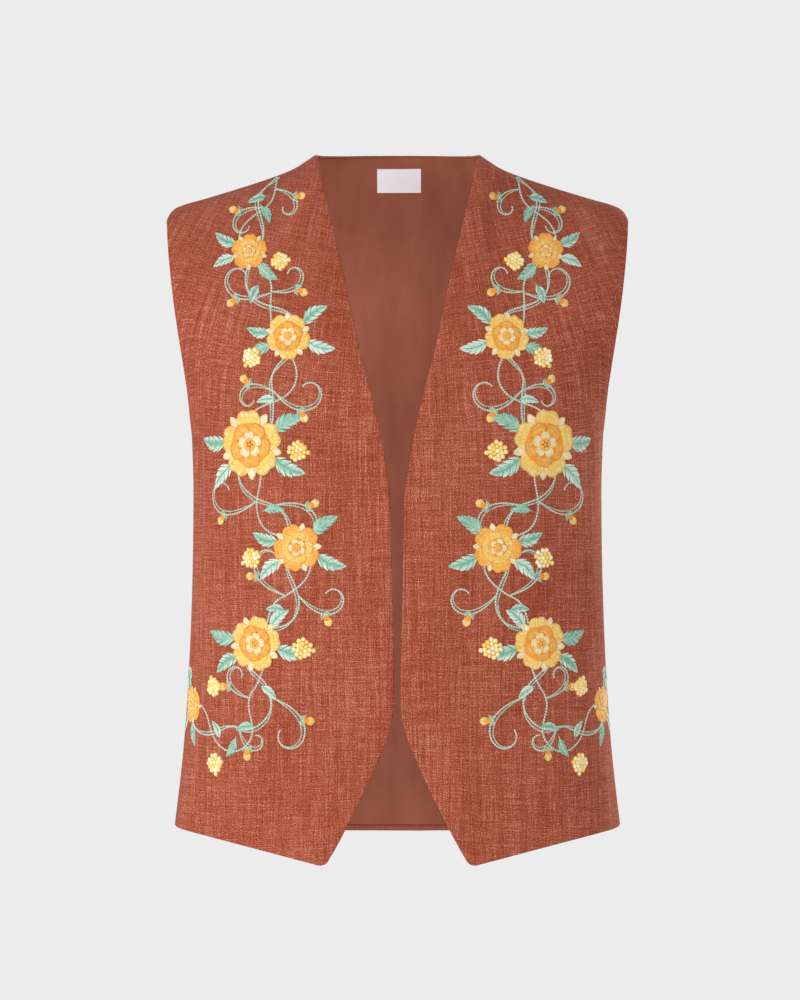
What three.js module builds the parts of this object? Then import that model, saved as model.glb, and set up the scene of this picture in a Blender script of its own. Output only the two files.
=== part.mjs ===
// Open-front denim gilet, held out as if worn and hollow inside.
// Millimetres, +Z up, the fronts face -Y and the wearer's left is +X.
// The origin is the middle of the neck opening, level with the neck points of the shoulders.
import * as THREE from 'three';

// Cloth and seams.
const SHELL_THICKNESS = 1.5;
const LINING_THICKNESS = 1.0;
const LABEL_THICKNESS = 0.8;
const LAYER_GAP = 0.3;
const HALF_SEAM_GAP = 0.15;
const HEM_FOLD_HEIGHT = 6.5;
const HEM_FOLD_THICKNESS = SHELL_THICKNESS + LAYER_GAP + LINING_THICKNESS;

// Body form. A level runs from 0 at the hem through 1 at the underarm to 2 at the shoulder ridge.
const HEM_SIDE_Z = -602;
const UNDERARM_Z = -258;
const SECTION_POWER = 2.4;
const SHOULDER_POWER = 1.6;

// Neck.
const NECK_HALF_WIDTH = 72;
const BACK_NECK_DEPTH = 55;
const BACK_NECK_RISE = 5;
const BACK_NECK_POWER = 0.7;
const BACK_NECK_EASING = 6;
const BACK_NECK_EASING_RUN = 0.2;
const BACK_NECK_UPRIGHT = 0.35;
const BACK_NECK_SPREAD = 2.5;

// Label, sewn to the lining below the back neck.
const LABEL_WIDTH = 41.4;
const LABEL_HEIGHT = 22.5;
const LABEL_CENTRE_X = 1.4;
const LABEL_TOP_Z = -5.2;

// Cross-sections from hem to underarm, named by the height of the side seam.
const bodyRows = [
  { z: -602, halfWidth: 200.0, frontDepth: 112, backDepth: 108 },
  { z: -562, halfWidth: 195.3, frontDepth: 109, backDepth: 103 },
  { z: -526, halfWidth: 191.7, frontDepth: 107, backDepth: 99 },
  { z: -490, halfWidth: 189.0, frontDepth: 105, backDepth: 96 },
  { z: -418, halfWidth: 185.4, frontDepth: 103, backDepth: 91 },
  { z: -346, halfWidth: 183.6, frontDepth: 104, backDepth: 90 },
  { z: -300, halfWidth: 183.2, frontDepth: 108, backDepth: 93 },
  { z: -258, halfWidth: 184.4, frontDepth: 113, backDepth: 97 },
];

// Cross-sections from underarm (rise 0) to shoulder ridge (rise 1). The armhole edge stands at
// edgeX, and edgeShare is its depth as a share of the section's.
const yokeRows = [
  { rise: 0.00, edgeX: 184.4, edgeShare: 0.00, frontDepth: 113, backDepth: 97 },
  { rise: 0.05, edgeX: 184.8, edgeShare: 0.14, frontDepth: 114.4, backDepth: 98.6 },
  { rise: 0.10, edgeX: 185.4, edgeShare: 0.24, frontDepth: 116, backDepth: 100.8 },
  { rise: 0.20, edgeX: 186.8, edgeShare: 0.37, frontDepth: 118.6, backDepth: 106.5 },
  { rise: 0.30, edgeX: 189.5, edgeShare: 0.46, frontDepth: 120.5, backDepth: 113 },
  { rise: 0.45, edgeX: 194.2, edgeShare: 0.54, frontDepth: 122, backDepth: 121 },
  { rise: 0.60, edgeX: 198.7, edgeShare: 0.60, frontDepth: 122, backDepth: 127 },
  { rise: 0.75, edgeX: 202.3, edgeShare: 0.64, frontDepth: 121, backDepth: 129 },
  { rise: 0.85, edgeX: 204.4, edgeShare: 0.67, frontDepth: 119, backDepth: 128 },
  { rise: 0.93, edgeX: 205.8, edgeShare: 0.69, frontDepth: 118, backDepth: 126 },
  { rise: 0.97, edgeX: 206.2, edgeShare: 0.70, frontDepth: 117, backDepth: 125 },
  { rise: 1.00, edgeX: 203.2, edgeShare: 0.71, frontDepth: 116, backDepth: 124 },
];

// Height of the shoulder ridge across the wearer, from the neck point out to the tip.
const ridgeRows = [
  { x: 0, z: 0 },
  { x: 72, z: 0 },
  { x: 81, z: -5 },
  { x: 90, z: -10.9 },
  { x: 99, z: -15.3 },
  { x: 117, z: -22 },
  { x: 144, z: -30.8 },
  { x: 171, z: -39 },
  { x: 198, z: -47.3 },
  { x: 206, z: -53.5 },
];

// Height of the hems across the wearer.
const frontHemRows = [
  { x: 0, z: -643 },
  { x: 63, z: -628.8 },
  { x: 86, z: -623.3 },
  { x: 122, z: -614.8 },
  { x: 158, z: -607.3 },
  { x: 180, z: -603.6 },
  { x: 200, z: -601.5 },
];
const backHemRows = [
  { x: 0, z: -617 },
  { x: 60, z: -616.8 },
  { x: 120, z: -613 },
  { x: 180, z: -605 },
  { x: 200, z: -601.5 },
];

// The front edge: hem point, cutaway, straight opening, then the V up to the neck point.
const frontEdgeRows = [
  { level: 0.000, x: 63.3 },
  { level: 0.053, x: 53.0 },
  { level: 0.130, x: 39.6 },
  { level: 0.205, x: 26.8 },
  { level: 0.278, x: 15.4 },
  { level: 0.315, x: 9.8 },
  { level: 0.350, x: 5.6 },
  { level: 0.380, x: 3.6 },
  { level: 0.420, x: 3.1 },
  { level: 0.520, x: 3.3 },
  { level: 0.624, x: 4.3 },
  { level: 0.726, x: 5.2 },
  { level: 0.862, x: 6.3 },
  { level: 0.908, x: 8.3 },
  { level: 0.953, x: 11.0 },
  { level: 1.000, x: 13.9 },
  { level: 1.065, x: 17.6 },
  { level: 1.132, x: 21.3 },
  { level: 1.199, x: 25.8 },
  { level: 1.267, x: 30.6 },
  { level: 1.334, x: 34.7 },
  { level: 1.471, x: 41.9 },
  { level: 1.609, x: 49.8 },
  { level: 1.750, x: 58.4 },
  { level: 1.896, x: 67.2 },
  { level: 2.000, x: 72.3 },
];

// Soft creases. Each runs from (x0, z0) to (x1, z1) and stands out by height, or in when negative.
const frontCreases = [
  { x0: 150, z0: -215, x1: 181, z1: -450, width: 8, height: 1.5 },
  { x0: 132, z0: -215, x1: 166, z1: -470, width: 11, height: -1.4 },
  { x0: 118, z0: -330, x1: 126, z1: -600, width: 14, height: 0.9 },
  { x0: 62, z0: -420, x1: 84, z1: -620, width: 13, height: -0.9 },
  { x0: -140, z0: -225, x1: -170, z1: -430, width: 10, height: 1.1 },
  { x0: -118, z0: -240, x1: -150, z1: -520, width: 13, height: -1.2 },
  { x0: -95, z0: -380, x1: -92, z1: -610, width: 14, height: 0.8 },
  { x0: 92, z0: -30, x1: 74, z1: -150, width: 10, height: -0.8 },
  { x0: -96, z0: -34, x1: -80, z1: -160, width: 10, height: -0.7 },
];
const backCreases = [
  { x0: -20, z0: -50, x1: -24, z1: -190, width: 15, height: -1.0 },
  { x0: 40, z0: -70, x1: 30, z1: -260, width: 17, height: 0.9 },
  { x0: 10, z0: -420, x1: 16, z1: -640, width: 17, height: -1.6 },
  { x0: -34, z0: -470, x1: -40, z1: -640, width: 14, height: 1.2 },
  { x0: -142, z0: -220, x1: -172, z1: -450, width: 11, height: 1.5 },
  { x0: 138, z0: -220, x1: 168, z1: -430, width: 11, height: 1.3 },
  { x0: -104, z0: -330, x1: -116, z1: -600, width: 16, height: -1.2 },
  { x0: 96, z0: -340, x1: 110, z1: -600, width: 16, height: -1.1 },
];

// Panel grids.
const FRONT_COLUMNS = 20;
const NECK_COLUMNS = 5;
const BACK_SIDE_COLUMNS = 11;
const LABEL_COLUMNS = 6;
const LABEL_ROWS = 3;
const yokeLevels = [
  1.005, 1.02, 1.06, 1.13, 1.2, 1.28, 1.36, 1.45, 1.54, 1.63, 1.72, 1.8, 1.87, 1.92, 1.955, 1.98, 1.995,
];
const frontBodyLevels = [
  0, 0.05, 0.1, 0.15, 0.2, 0.24, 0.28, 0.315, 0.345, 0.375, 0.41, 0.47, 0.54, 0.61, 0.68, 0.75,
  0.81, 0.86, 0.9, 0.935, 0.97, 1,
];
const backBodyLevels = [0.07, 0.14, 0.21, 0.29, 0.37, 0.45, 0.53, 0.61, 0.69, 0.77, 0.85, 0.92, 0.965, 1];

// Smooth curve through a table's column that never overshoots its rows.
function smoothValue(rows, keyName, valueName, key) {
  const last = rows.length - 1;
  const at = Math.min(Math.max(key, rows[0][keyName]), rows[last][keyName]);
  let i = 0;
  while (i < last - 1 && at >= rows[i + 1][keyName]) i += 1;
  const rate = (j) => {
    const run = rows[j + 1][keyName] - rows[j][keyName];
    return (rows[j + 1][valueName] - rows[j][valueName]) / run;
  };
  const slope = (j) => {
    if (j === 0) return rate(0);
    if (j === last) return rate(last - 1);
    const before = rate(j - 1);
    const after = rate(j);
    return before * after <= 0 ? 0 : (2 * before * after) / (before + after);
  };
  const run = rows[i + 1][keyName] - rows[i][keyName];
  const s = (at - rows[i][keyName]) / run;
  const startPart = (1 + 2 * s) * (1 - s) ** 2 * rows[i][valueName];
  const startSlope = s * (1 - s) ** 2 * run * slope(i);
  const endPart = s * s * (3 - 2 * s) * rows[i + 1][valueName];
  const endSlope = s * s * (s - 1) * run * slope(i + 1);
  return startPart + startSlope + endPart + endSlope;
}

const sinePower = (angle) => Math.sin(angle) ** (2 / SECTION_POWER);
const cosinePower = (angle) => Math.max(Math.cos(angle), 0) ** (2 / SECTION_POWER);

// Section of one face at a level: full half-width, depth and the angle where the cloth ends.
function sectionAt(face, level) {
  const depthName = face === 'front' ? 'frontDepth' : 'backDepth';
  if (level <= 1) {
    const sideZ = HEM_SIDE_Z + level * (UNDERARM_Z - HEM_SIDE_Z);
    const halfWidth = smoothValue(bodyRows, 'z', 'halfWidth', sideZ);
    const depth = smoothValue(bodyRows, 'z', depthName, sideZ);
    return { halfWidth, depth, endAngle: Math.PI / 2, taper: 1 };
  }
  const rise = level - 1;
  const edgeX = smoothValue(yokeRows, 'rise', 'edgeX', rise);
  const depth = smoothValue(yokeRows, 'rise', depthName, rise);
  const edgeShare = smoothValue(yokeRows, 'rise', 'edgeShare', rise);
  const endAngle = Math.acos(edgeShare ** (SECTION_POWER / 2));
  const taper = Math.max(1 - rise ** SHOULDER_POWER, 0);
  return { halfWidth: edgeX / sinePower(endAngle), depth, endAngle, taper };
}

// Share of the section's angle, from 0 at the centre to 1 at the side, where it reaches x.
function turnAtX(face, level, x) {
  const section = sectionAt(face, level);
  const sine = (Math.abs(x) / section.halfWidth) ** (SECTION_POWER / 2);
  return Math.asin(Math.min(sine, 1)) / section.endAngle;
}

const neckTurn = turnAtX('back', 2, NECK_HALF_WIDTH);

// How far a place on the back is inside the neck's width, from 1 at the centre to 0 outside it.
// Below the neck edge the width spreads, so the opening's form dies away into the back.
function neckShare(level, turn) {
  const width = neckTurn * (1 + BACK_NECK_SPREAD * (2 - level));
  return Math.max(Math.cos((Math.PI / 2) * Math.min(turn / width, 1)), 0);
}

// Height of a level line where it passes x.
function heightAt(face, level, x, turn) {
  const out = Math.abs(x);
  if (level <= 1) {
    const hemRows = face === 'front' ? frontHemRows : backHemRows;
    const hemZ = smoothValue(hemRows, 'x', 'z', out);
    return hemZ + level * (UNDERARM_Z - hemZ);
  }
  const rise = face === 'back' ? BACK_NECK_RISE * neckShare(level, turn) : 0;
  const topZ = smoothValue(ridgeRows, 'x', 'z', out) + rise;
  return UNDERARM_Z + (level - 1) * (topZ - UNDERARM_Z);
}

// Depth of the section, with the back's neck opening cut in at the ridge.
function depthAt(face, section, level, turn) {
  if (section.taper === 1) return section.depth;
  if (face === 'front') return section.depth * Math.sqrt(section.taper);
  const intoNeck = neckShare(level, turn);
  const easing = BACK_NECK_EASING * Math.min(2 - level, BACK_NECK_EASING_RUN);
  const neckDepth = BACK_NECK_DEPTH * intoNeck ** (BACK_NECK_POWER + easing);
  const roundness = 0.5 + BACK_NECK_UPRIGHT * intoNeck ** 2;
  return neckDepth + (section.depth - neckDepth) * section.taper ** roundness;
}

// Point of the uncreased outer surface. A signed turn below 0 is the wearer's right.
function plainPoint(face, level, signedTurn) {
  const turn = Math.abs(signedTurn);
  const section = sectionAt(face, level);
  const angle = turn * section.endAngle;
  const x = section.halfWidth * sinePower(angle);
  const out = HALF_SEAM_GAP + depthAt(face, section, level, turn) * cosinePower(angle);
  const z = heightAt(face, level, x, turn);
  return new THREE.Vector3(Math.sign(signedTurn) * x, face === 'front' ? -out : out, z);
}

// Outward direction of the surface, from its slopes along the level and the turn.
function outwardAt(face, level, signedTurn) {
  const step = 1e-4;
  const lower = plainPoint(face, Math.max(level - step, 0), signedTurn);
  const upper = plainPoint(face, Math.min(level + step, 2), signedTurn);
  const before = plainPoint(face, level, Math.max(signedTurn - step, -1));
  const after = plainPoint(face, level, Math.min(signedTurn + step, 1));
  const across = after.sub(before);
  const up = upper.sub(lower);
  const outward = new THREE.Vector3().crossVectors(across, up).normalize();
  return face === 'front' ? outward : outward.negate();
}

// How far the creases move the cloth at x and z. They fade out at both ends and at the seams.
function creaseAt(face, x, z, level, turn) {
  const rows = face === 'front' ? frontCreases : backCreases;
  const seamFade = Math.min(1, (1 - turn) * 6) * Math.min(1, Math.max(2 - level, 0) * 8);
  let total = 0;
  for (const row of rows) {
    const along = (row.z0 - z) / (row.z0 - row.z1);
    if (along > 0 && along < 1) {
      const away = (x - (row.x0 + along * (row.x1 - row.x0))) / row.width;
      total += row.height * Math.sin(Math.PI * along) ** 0.8 * Math.exp(-away * away);
    }
  }
  return total * seamFade;
}

// Cloth point at a depth below the outer surface.
function clothPoint(face, level, signedTurn, below) {
  const point = plainPoint(face, level, signedTurn);
  const outward = outwardAt(face, level, signedTurn);
  const crease = creaseAt(face, point.x, point.z, level, Math.abs(signedTurn));
  return point.addScaledVector(outward, crease - below);
}

// Closed wall between two grids of points. Columns run anticlockwise as seen from above.
function wallBetween(outer, inner) {
  const rows = outer.length;
  const columns = outer[0].length;
  const positions = [];
  for (const grid of [outer, inner]) {
    for (const row of grid) {
      for (const point of row) positions.push(point.x, point.y, point.z);
    }
  }
  const outerAt = (row, column) => row * columns + column;
  const innerAt = (row, column) => rows * columns + row * columns + column;
  const faces = [];
  const quad = (a, b, c, d) => faces.push(a, b, c, a, c, d);
  for (let r = 0; r < rows - 1; r += 1) {
    for (let c = 0; c < columns - 1; c += 1) {
      quad(outerAt(r, c), outerAt(r, c + 1), outerAt(r + 1, c + 1), outerAt(r + 1, c));
      quad(innerAt(r, c), innerAt(r + 1, c), innerAt(r + 1, c + 1), innerAt(r, c + 1));
    }
  }
  for (let c = 0; c < columns - 1; c += 1) {
    quad(innerAt(0, c), innerAt(0, c + 1), outerAt(0, c + 1), outerAt(0, c));
    const top = rows - 1;
    quad(outerAt(top, c), outerAt(top, c + 1), innerAt(top, c + 1), innerAt(top, c));
  }
  for (let r = 0; r < rows - 1; r += 1) {
    quad(innerAt(r, 0), outerAt(r, 0), outerAt(r + 1, 0), innerAt(r + 1, 0));
    const end = columns - 1;
    quad(outerAt(r, end), innerAt(r, end), innerAt(r + 1, end), outerAt(r + 1, end));
  }
  const geometry = new THREE.BufferGeometry();
  geometry.setAttribute('position', new THREE.Float32BufferAttribute(positions, 3));
  geometry.setIndex(faces);
  geometry.computeVertexNormals();
  return geometry;
}

function namedMesh(name, geometry, color, roughness) {
  const material = new THREE.MeshStandardMaterial({ color, roughness, metalness: 0 });
  const mesh = new THREE.Mesh(geometry, material);
  mesh.name = name;
  return mesh;
}

// One front, from its edge at the opening out to the side seam and armhole.
function makeFront(side) {
  const levels = [...frontBodyLevels, ...yokeLevels, 2];
  const gridBelow = (below) => levels.map((level) => {
    const edgeX = smoothValue(frontEdgeRows, 'level', 'x', level);
    const edgeTurn = turnAtX('front', level, edgeX);
    const row = [];
    for (let c = 0; c <= FRONT_COLUMNS; c += 1) {
      const turn = edgeTurn + (1 - edgeTurn) * (c / FRONT_COLUMNS);
      row.push(clothPoint('front', level, side * turn, below));
    }
    return side > 0 ? row : row.reverse();
  });
  return wallBetween(gridBelow(0), gridBelow(SHELL_THICKNESS));
}

// Column turns of the back, from the wearer's left to the right, with one at each neck point.
function backTurns() {
  const half = [];
  for (let c = 1; c <= NECK_COLUMNS; c += 1) half.push((neckTurn * c) / NECK_COLUMNS);
  for (let c = 1; c <= BACK_SIDE_COLUMNS; c += 1) {
    half.push(neckTurn + ((1 - neckTurn) * c) / BACK_SIDE_COLUMNS);
  }
  return [...half.slice().reverse(), 0, ...half.map((turn) => -turn)];
}

function backGrid(levels, belowAt) {
  const turns = backTurns();
  return levels.map((level) => turns.map((turn) => clothPoint('back', level, turn, belowAt(level))));
}

const levelAboveHem = (millimetres) => millimetres / (UNDERARM_Z - HEM_SIDE_Z);

// The back, with its hem folded up inside.
function makeBack() {
  const foldTop = levelAboveHem(HEM_FOLD_HEIGHT);
  const foldStep = levelAboveHem(HEM_FOLD_HEIGHT + LAYER_GAP);
  const levels = [0, foldTop, foldStep, ...backBodyLevels, ...yokeLevels, 2];
  const thickness = (level) => (level <= foldTop ? HEM_FOLD_THICKNESS : SHELL_THICKNESS);
  return wallBetween(backGrid(levels, () => 0), backGrid(levels, thickness));
}

// The lining follows the back's inside from just above the hem fold to the neck and shoulders.
function liningGrids() {
  const bottom = levelAboveHem(HEM_FOLD_HEIGHT + 3 * LAYER_GAP);
  const top = 1.9998;
  const levels = [bottom, ...backBodyLevels, ...yokeLevels, top];
  const outerBelow = SHELL_THICKNESS + LAYER_GAP;
  return {
    levels,
    outer: backGrid(levels, () => outerBelow),
    inner: backGrid(levels, () => outerBelow + LINING_THICKNESS),
  };
}

// The label lies on the lining's inner grid, moved towards the wearer.
function makeLabel(lining) {
  const turns = backTurns();
  const placeOnLining = (x, z) => {
    const sign = Math.sign(x);
    let level = 2;
    let turn = turnAtX('back', level, x);
    for (let pass = 0; pass < 8; pass += 1) {
      const topZ = heightAt('back', 2, x, turn);
      level = 1 + (z - UNDERARM_Z) / (topZ - UNDERARM_Z);
      turn = turnAtX('back', level, x);
    }
    const signedTurn = sign * turn;
    let c = 0;
    while (c < turns.length - 2 && turns[c + 1] > signedTurn) c += 1;
    let r = 0;
    while (r < lining.levels.length - 2 && lining.levels[r + 1] < level) r += 1;
    const across = (turns[c] - signedTurn) / (turns[c] - turns[c + 1]);
    const up = (level - lining.levels[r]) / (lining.levels[r + 1] - lining.levels[r]);
    const low = lining.inner[r][c].clone().lerp(lining.inner[r][c + 1], across);
    const high = lining.inner[r + 1][c].clone().lerp(lining.inner[r + 1][c + 1], across);
    return { point: low.lerp(high, up), outward: outwardAt('back', level, signedTurn) };
  };
  const gridAt = (away) => {
    const grid = [];
    for (let r = 0; r <= LABEL_ROWS; r += 1) {
      const z = LABEL_TOP_Z - LABEL_HEIGHT * (1 - r / LABEL_ROWS);
      const row = [];
      for (let c = 0; c <= LABEL_COLUMNS; c += 1) {
        const x = LABEL_CENTRE_X + LABEL_WIDTH * (0.5 - c / LABEL_COLUMNS);
        const place = placeOnLining(x, z);
        row.push(place.point.addScaledVector(place.outward, -away));
      }
      grid.push(row);
    }
    return grid;
  };
  return wallBetween(gridAt(LAYER_GAP), gridAt(LAYER_GAP + LABEL_THICKNESS));
}

const gilet = new THREE.Group();
gilet.name = 'denim_gilet';
const lining = liningGrids();
gilet.add(namedMesh('front_left', makeFront(1), 0xa85a42, 0.9));
gilet.add(namedMesh('front_right', makeFront(-1), 0xa85a42, 0.9));
gilet.add(namedMesh('back', makeBack(), 0xa85a42, 0.9));
gilet.add(namedMesh('back_lining', wallBetween(lining.outer, lining.inner), 0x8b4c3b, 0.6));
gilet.add(namedMesh('label', makeLabel(lining), 0xe5dce1, 0.7));

export default gilet;
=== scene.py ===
"""Open-front denim gilet with an embroidered vine on each front, held out as if worn."""
import math

import bpy
import numpy as np
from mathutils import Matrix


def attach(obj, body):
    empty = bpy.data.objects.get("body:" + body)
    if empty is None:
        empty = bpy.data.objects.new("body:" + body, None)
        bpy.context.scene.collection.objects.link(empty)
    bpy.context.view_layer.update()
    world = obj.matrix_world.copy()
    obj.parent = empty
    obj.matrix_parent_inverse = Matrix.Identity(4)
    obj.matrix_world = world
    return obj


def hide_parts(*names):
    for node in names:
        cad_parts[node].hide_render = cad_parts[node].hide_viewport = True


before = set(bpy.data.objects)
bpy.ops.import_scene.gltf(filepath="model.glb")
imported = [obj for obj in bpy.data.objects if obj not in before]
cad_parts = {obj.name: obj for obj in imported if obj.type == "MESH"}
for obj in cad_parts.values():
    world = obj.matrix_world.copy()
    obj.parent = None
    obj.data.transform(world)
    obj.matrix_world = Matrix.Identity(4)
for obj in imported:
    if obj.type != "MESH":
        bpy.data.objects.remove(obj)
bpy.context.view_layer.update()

MM = 0.001
rng = np.random.default_rng(11)


# ---- the garment's form, in mm

SHELL, LINING, LAYER_GAP = 1.5, 1.0, 0.3
SEAM_HALF_GAP = 0.03
HEM_SIDE_Z, UNDERARM_Z = -602.0, -258.0
SECTION_POWER, SHOULDER_POWER = 2.4, 1.6
NECK_HALF_WIDTH, NECK_DEPTH, NECK_RISE = 72.0, 55.0, 5.0
NECK_POWER, NECK_EASING, NECK_EASING_RUN = 0.7, 6.0, 0.2
NECK_UPRIGHT, NECK_SPREAD = 0.35, 2.5
HEM_FOLD = 4.9
FOLD_LEVEL = HEM_FOLD / (UNDERARM_Z - HEM_SIDE_Z)
FOLD_STEP = 0.0012


def table(columns, rows):
    """A table with named columns, each of them an array."""
    return dict(zip(columns.split(), np.array(rows, float).T))


BODY = table("side_z half_width front_depth back_depth", [
    (-602, 200.0, 112, 108), (-562, 195.3, 109, 103),
    (-526, 191.7, 107, 99), (-490, 189.0, 105, 96),
    (-418, 185.4, 103, 91), (-346, 183.6, 104, 90),
    (-300, 183.2, 108, 93), (-258, 184.4, 113, 97),
])
YOKE = table("rise edge_x edge_share front_depth back_depth", [
    (0.00, 184.4, 0.00, 113, 97), (0.05, 184.8, 0.14, 114.4, 98.6),
    (0.10, 185.4, 0.24, 116, 100.8), (0.20, 186.8, 0.37, 118.6, 106.5),
    (0.30, 189.5, 0.46, 120.5, 113), (0.45, 194.2, 0.54, 122, 121),
    (0.60, 198.7, 0.60, 122, 127), (0.75, 202.3, 0.64, 121, 129),
    (0.85, 204.4, 0.67, 119, 128), (0.93, 205.8, 0.69, 118, 126),
    (0.97, 206.2, 0.70, 117, 125), (1.00, 203.2, 0.71, 116, 124),
])
RIDGE = table("x z", [
    (0, 0), (72, 0), (81, -5), (90, -10.9), (99, -15.3),
    (117, -22), (144, -30.8), (171, -39), (198, -47.3), (206, -53.5),
])
HEM = {
    "front": table("x z", [
        (0, -643), (63, -628.8), (86, -623.3), (122, -614.8), (158, -607.3), (180, -603.6),
        (200, -601.5),
    ]),
    "back": table("x z", [(0, -618.2), (60, -618.0), (120, -613.8), (180, -605.3), (200, -601.5)]),
}
FRONT_EDGE = table("level x", [
    (0.000, 63.3), (0.053, 53.0), (0.130, 39.6), (0.205, 26.8), (0.278, 15.4),
    (0.315, 9.8), (0.350, 5.6), (0.380, 3.6), (0.420, 3.1), (0.520, 3.3),
    (0.624, 4.3), (0.726, 5.2), (0.862, 6.3), (0.908, 8.3), (0.953, 11.0),
    (1.000, 13.9), (1.065, 17.6), (1.132, 21.3), (1.199, 25.8), (1.267, 30.6),
    (1.334, 34.7), (1.471, 41.9), (1.609, 49.8), (1.750, 58.4), (1.896, 67.2), (2.000, 72.3),
])
CREASE_COLUMNS = "x0 z0 x1 z1 width height"
CREASES = {
    "front": table(CREASE_COLUMNS, [
        (150, -215, 181, -450, 8, 1.5), (132, -215, 166, -470, 11, -1.4),
        (118, -330, 126, -600, 14, 0.9), (62, -420, 84, -620, 13, -0.9),
        (-140, -225, -170, -430, 10, 1.1), (-118, -240, -150, -520, 13, -1.2),
        (-95, -380, -92, -610, 14, 0.8), (92, -30, 74, -150, 10, -0.8),
        (-96, -34, -80, -160, 10, -0.7),
    ]),
    "back": table(CREASE_COLUMNS, [
        (-20, -50, -24, -190, 15, -1.0), (40, -70, 30, -260, 17, 0.9),
        (10, -420, 16, -640, 17, -1.6), (-34, -470, -40, -640, 14, 1.2),
        (-142, -220, -172, -450, 11, 1.5), (138, -220, 168, -430, 11, 1.3),
        (-104, -330, -116, -600, 16, -1.2), (96, -340, 110, -600, 16, -1.1),
    ]),
}


def smooth(rows, key, value, at):
    """Cubic curve through a table's column. Each row's slope is the harmonic mean of its
    neighbours' slopes, or level at a turn, so the curve never overshoots."""
    x, y = rows[key], rows[value]
    rate = np.diff(y) / np.diff(x)
    product = rate[:-1] * rate[1:]
    total = np.where(product > 0, rate[:-1] + rate[1:], 1)
    slope = np.concatenate([rate[:1], np.where(product > 0, 2 * product / total, 0), rate[-1:]])
    at = np.clip(at, x[0], x[-1])
    i = np.clip(np.searchsorted(x, at, side="right") - 1, 0, len(x) - 2)
    run = x[i + 1] - x[i]
    s = (at - x[i]) / run
    start = (1 + 2 * s) * (1 - s) ** 2 * y[i] + s * (1 - s) ** 2 * run * slope[i]
    end = s * s * (3 - 2 * s) * y[i + 1] + s * s * (s - 1) * run * slope[i + 1]
    return start + end


def unit(vectors):
    """The same vectors at a length of 1."""
    return vectors / np.linalg.norm(vectors, axis=-1, keepdims=True)


def arc_length(points, axis):
    """Length run along an axis of a line or grid of points, from 0 at its start."""
    steps = np.linalg.norm(np.diff(points, axis=axis), axis=-1)
    return np.insert(np.cumsum(steps, axis), 0, 0, axis)


def section(face, level):
    """Half width, depth, end angle and shoulder taper of the cross-section at a level, which
    runs from 0 at the hem through 1 at the underarm to 2 at the shoulder ridge."""
    rise = np.clip(level - 1, 0, 1)
    side_z = HEM_SIDE_Z + np.clip(level, 0, 1) * (UNDERARM_Z - HEM_SIDE_Z)
    below = level <= 1
    share = smooth(YOKE, "rise", "edge_share", rise)
    end = np.arccos(np.clip(share, 0, 1) ** (SECTION_POWER / 2))
    edge = smooth(YOKE, "rise", "edge_x", rise) / np.sin(end) ** (2 / SECTION_POWER)
    half = np.where(below, smooth(BODY, "side_z", "half_width", side_z), edge)
    upper = smooth(YOKE, "rise", face + "_depth", rise)
    depth = np.where(below, smooth(BODY, "side_z", face + "_depth", side_z), upper)
    return half, depth, end, np.maximum(1 - rise ** SHOULDER_POWER, 0)


def turn_at_x(face, level, x):
    """Share of the section's angle, 0 at the centre and 1 at the side, where it reaches x."""
    half, _, end, _ = section(face, level)
    return np.arcsin(np.clip(np.abs(x) / half, 0, 1) ** (SECTION_POWER / 2)) / end


NECK_TURN = float(turn_at_x("back", np.array(2.0), NECK_HALF_WIDTH))


def neck_share(level, turn):
    """1 at the centre back, falling as a cosine to 0 at the neck's width, which spreads below."""
    width = NECK_TURN * (1 + NECK_SPREAD * (2 - level))
    return np.maximum(np.cos(np.pi / 2 * np.minimum(turn / width, 1)), 0)


def plain_point(face, level, signed_turn):
    """Point of the uncreased surface: a superellipse quarter in plan, whose level lines fan
    from the hem to the shoulder ridge, and whose depth closes to the ridge as a round."""
    turn = np.abs(signed_turn)
    half, depth, end, taper = section(face, level)
    angle = turn * end
    x = half * np.sin(angle) ** (2 / SECTION_POWER)
    into_neck = neck_share(level, turn) if face == "back" else np.zeros_like(x)
    easing = NECK_EASING * np.minimum(2 - level, NECK_EASING_RUN)
    neck = NECK_DEPTH * into_neck ** (NECK_POWER + easing) * (level > 1)
    round_off = taper ** (0.5 + NECK_UPRIGHT * into_neck ** 2)
    depth = neck + (depth - neck) * round_off
    out = SEAM_HALF_GAP + depth * np.maximum(np.cos(angle), 0) ** (2 / SECTION_POWER)
    hem = smooth(HEM[face], "x", "z", x)
    top = smooth(RIDGE, "x", "z", x) + NECK_RISE * into_neck
    low_z = hem + level * (UNDERARM_Z - hem)
    z = np.where(level <= 1, low_z, UNDERARM_Z + (level - 1) * (top - UNDERARM_Z))
    y = -out if face == "front" else out
    return np.stack([np.sign(signed_turn) * x, y, z], -1)


def outward(face, level, turn):
    """Unit normal of the plain surface, from its slopes along the turn and the level."""
    step = 1e-4
    across = plain_point(face, level, np.minimum(turn + step, 1))
    across -= plain_point(face, level, np.maximum(turn - step, -1))
    up = plain_point(face, np.minimum(level + step, 2), turn)
    up -= plain_point(face, np.maximum(level - step, 0), turn)
    normal = unit(np.cross(across, up))
    return normal if face == "front" else -normal


def seam_fade(level, turn, side_rate, ridge_rate):
    """1 inside, falling evenly to 0 over the last 1/rate before the side and the ridge."""
    side = np.minimum(1, (1 - np.abs(turn)) * side_rate)
    return side * np.minimum(1, np.maximum(2 - level, 0) * ridge_rate)


CREASE_FADE, DRAPE_FADE = (6, 8), (8, 10)
DRAPE_ACROSS, DRAPE_ASLANT, DRAPE_DOWN = 0.22, 0.16, 0.14


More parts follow.
